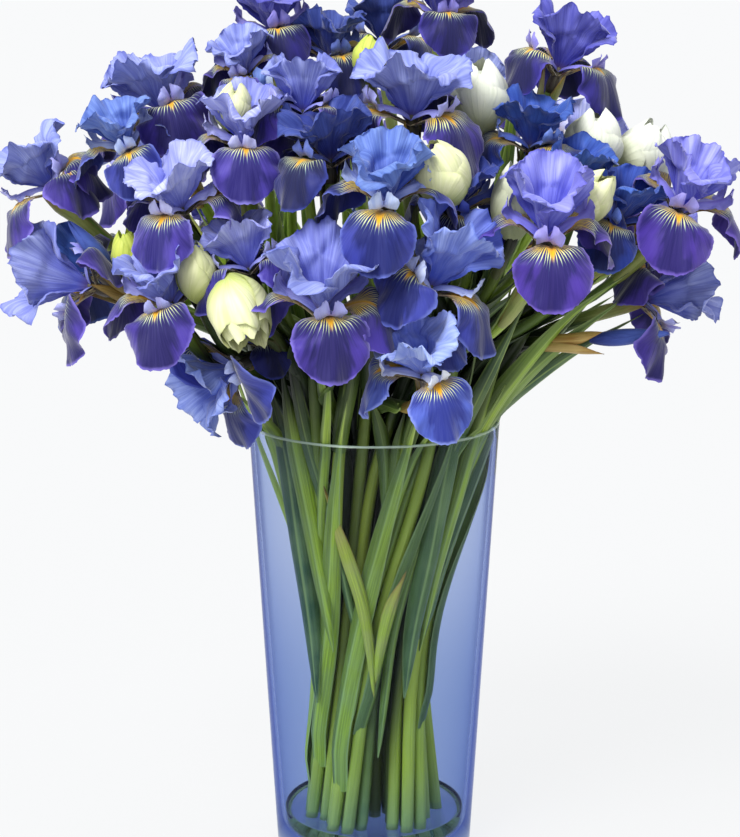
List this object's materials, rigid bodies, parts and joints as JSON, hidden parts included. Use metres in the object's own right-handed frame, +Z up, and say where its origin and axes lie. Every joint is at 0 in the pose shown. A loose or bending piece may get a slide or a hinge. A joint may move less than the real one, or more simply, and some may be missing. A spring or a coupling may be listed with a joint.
{
  "type": "irises in a glass vase",
  "caption": "Full bouquet of violet and blue irises with pale closed buds and sword leaves, standing in a tapered blue glass vase.",
  "frame": {"origin": "centre of the vase's foot, on the surface it stands on", "axes": "+Z up along the vase's axis; the side that the bouquet is seen from faces -Y, and +X is to its right"},
  "size_m": [0.4867, 0.3672, 0.6042],
  "materials": {
    "vase_glass": "gloss",
    "water": "gloss",
    "stem": "satin",
    "violet_bloom": "matte",
    "blue_bloom": "matte",
    "cream_bud": "matte",
    "green_bud": "matte",
    "blue_bud": "matte"
  },
  "bodies": {
    "root": {"bud_blue_left": "blue_bud", "bud_blue_right": "blue_bud", "bud_cream_centre": "cream_bud", "bud_cream_left": "cream_bud", "bud_cream_low": "cream_bud", "bud_cream_right": "cream_bud", "bud_green_left": "green_bud", "bud_small_left": "cream_bud", "bud_top_green": "green_bud", "bud_upper_left": "cream_bud", "bud_white_far_right": "cream_bud", "bud_white_middle": "cream_bud", "bud_white_right": "cream_bud", "bud_white_upper": "cream_bud", "iris_back_view": "violet_bloom", "iris_blue_centre": "blue_bloom", "iris_blue_deep": "blue_bloom", "iris_blue_high": "blue_bloom", "iris_blue_inner": "blue_bloom", "iris_blue_left": "blue_bloom", "iris_blue_low": "blue_bloom", "iris_blue_right": "blue_bloom", "iris_blue_top": "blue_bloom", "iris_centre_front": "violet_bloom", "iris_crown": "blue_bloom", "iris_far_left": "violet_bloom", "iris_far_right": "violet_bloom", "iris_left_front": "violet_bloom", "iris_left_middle": "violet_bloom", "iris_left_round": "violet_bloom", "iris_left_side": "violet_bloom", "iris_left_small": "violet_bloom", "iris_low_left": "blue_bloom", "iris_low_pale": "blue_bloom", "iris_outer_left": "blue_bloom", "iris_outer_right": "violet_bloom", "iris_rear_centre": "violet_bloom", "iris_rear_left": "violet_bloom", "iris_rear_low": "blue_bloom", "iris_rear_low_left": "violet_bloom", "iris_rear_low_right": "violet_bloom", "iris_rear_right": "violet_bloom", "iris_rear_upper_left": "blue_bloom", "iris_rear_upper_right": "violet_bloom", "iris_right_front": "violet_bloom", "iris_right_side": "violet_bloom", "iris_round_left": "violet_bloom", "iris_side_centre": "blue_bloom", "iris_top_centre": "violet_bloom", "iris_top_left": "violet_bloom", "iris_top_right": "violet_bloom", "iris_top_small": "violet_bloom", "iris_upper_centre": "violet_bloom", "iris_upper_left": "violet_bloom", "stems_back": "stem", "stems_front": "stem", "stems_middle": "stem", "stems_right": "stem", "vase": "vase_glass", "water": "water"}
  },
  "joints": []
}
